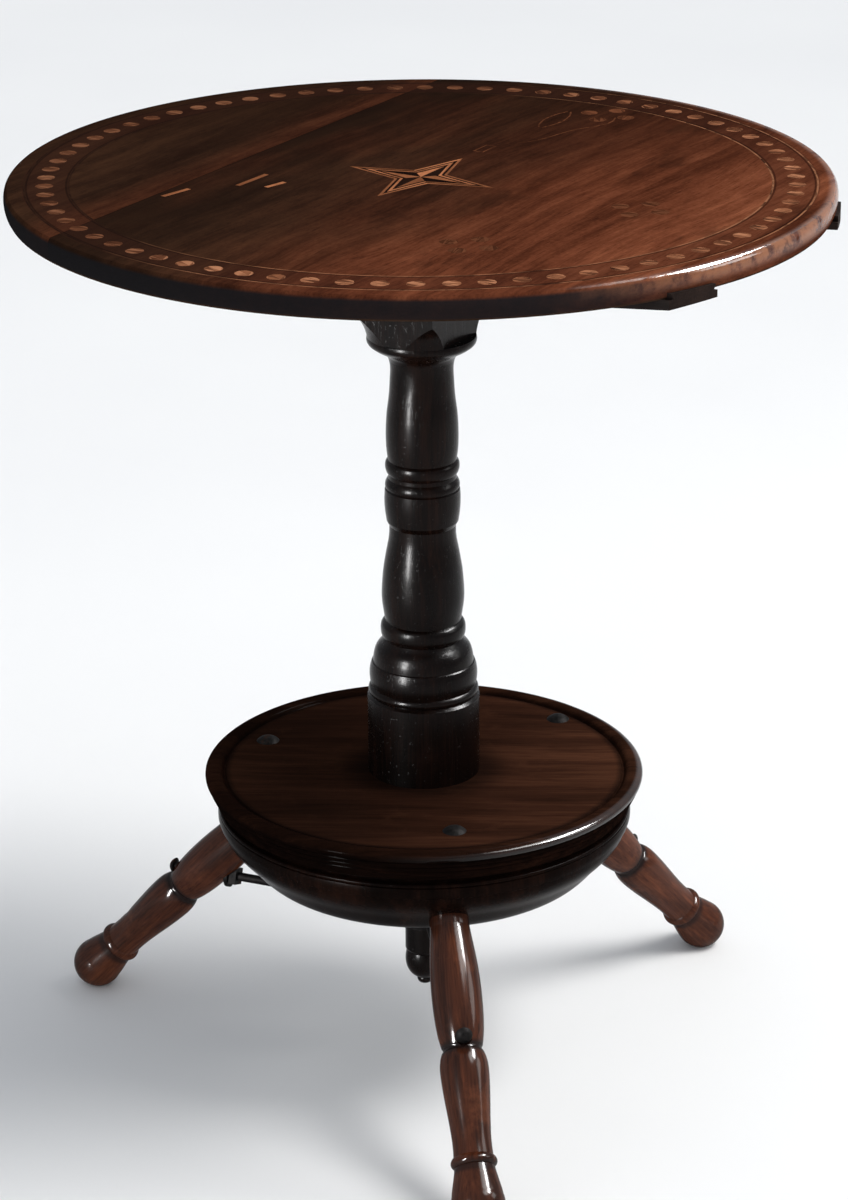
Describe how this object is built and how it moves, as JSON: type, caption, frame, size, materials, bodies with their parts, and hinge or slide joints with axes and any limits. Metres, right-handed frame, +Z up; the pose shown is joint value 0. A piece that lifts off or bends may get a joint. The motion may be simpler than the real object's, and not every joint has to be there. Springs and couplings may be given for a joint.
{
  "type": "tilt top table",
  "caption": "Round tilt-top table: an inlaid top hinged on a turned pillar, over a moulded round platform with splayed turned legs tied by iron rods.",
  "frame": {"origin": "on the floor, under the pillar's axis", "axes": "+Z up; X along the hinge and the top's grain; Y along the battens, with the catch on the +Y side"},
  "size_m": [0.61, 0.6127, 0.711],
  "materials": {
    "top_walnut": "waxed walnut, satin",
    "dark_turned_wood": "dark polished",
    "leg_wood": "polished red brown",
    "batten_wood": "dull dark brown",
    "peg_wood": "dull",
    "button_wood": "satin",
    "inlay_light": "satin light inlay",
    "inlay_dark": "satin dark inlay",
    "wrought_iron": "blackened"
  },
  "bodies": {
    "base": {"pillar": "dark_turned_wood", "platform_disc": "dark_turned_wood", "platform_bowl": "dark_turned_wood", "platform_bolts": "wrought_iron", "pendant": "dark_turned_wood", "leg_front": "leg_wood", "leg_right": "leg_wood", "leg_left": "leg_wood", "tie_rod_front": "wrought_iron", "tie_rod_right": "wrought_iron", "tie_rod_left": "wrought_iron", "tie_nuts": "wrought_iron", "tie_washers": "wrought_iron", "tie_collar": "wrought_iron", "keeper": "wrought_iron", "keeper_nails": "wrought_iron"},
    "top": {"top_board_right": "top_walnut", "top_board_middle": "top_walnut", "top_board_left": "top_walnut", "batten_near": "batten_wood", "batten_far": "batten_wood", "batten_pegs": "peg_wood", "pivot_rod": "wrought_iron", "pivot_washers": "wrought_iron", "turn_button_screw": "wrought_iron", "inlay_outer_line": "inlay_light", "inlay_inner_line": "inlay_light", "inlay_rim_dots": "inlay_light", "inlay_flowers": "inlay_light", "inlay_dashes": "inlay_light", "inlay_leaf": "inlay_light", "inlay_star_light": "inlay_light", "inlay_star_dark": "inlay_dark"},
    "catch": {"turn_button": "button_wood"}
  },
  "joints": [
    {"name": "top_tilt", "type": "hinge", "parent": "base", "child": "top", "pos_m": [0, -0.022, 0.6817], "axis": [1, 0, 0], "range_deg": [0, 84]},
    {"name": "catch_turn", "type": "hinge", "parent": "top", "child": "catch", "pos_m": [0, 0.062, 0.685], "axis": [0, 0, 1], "range_deg": [0, 90]}
  ]
}
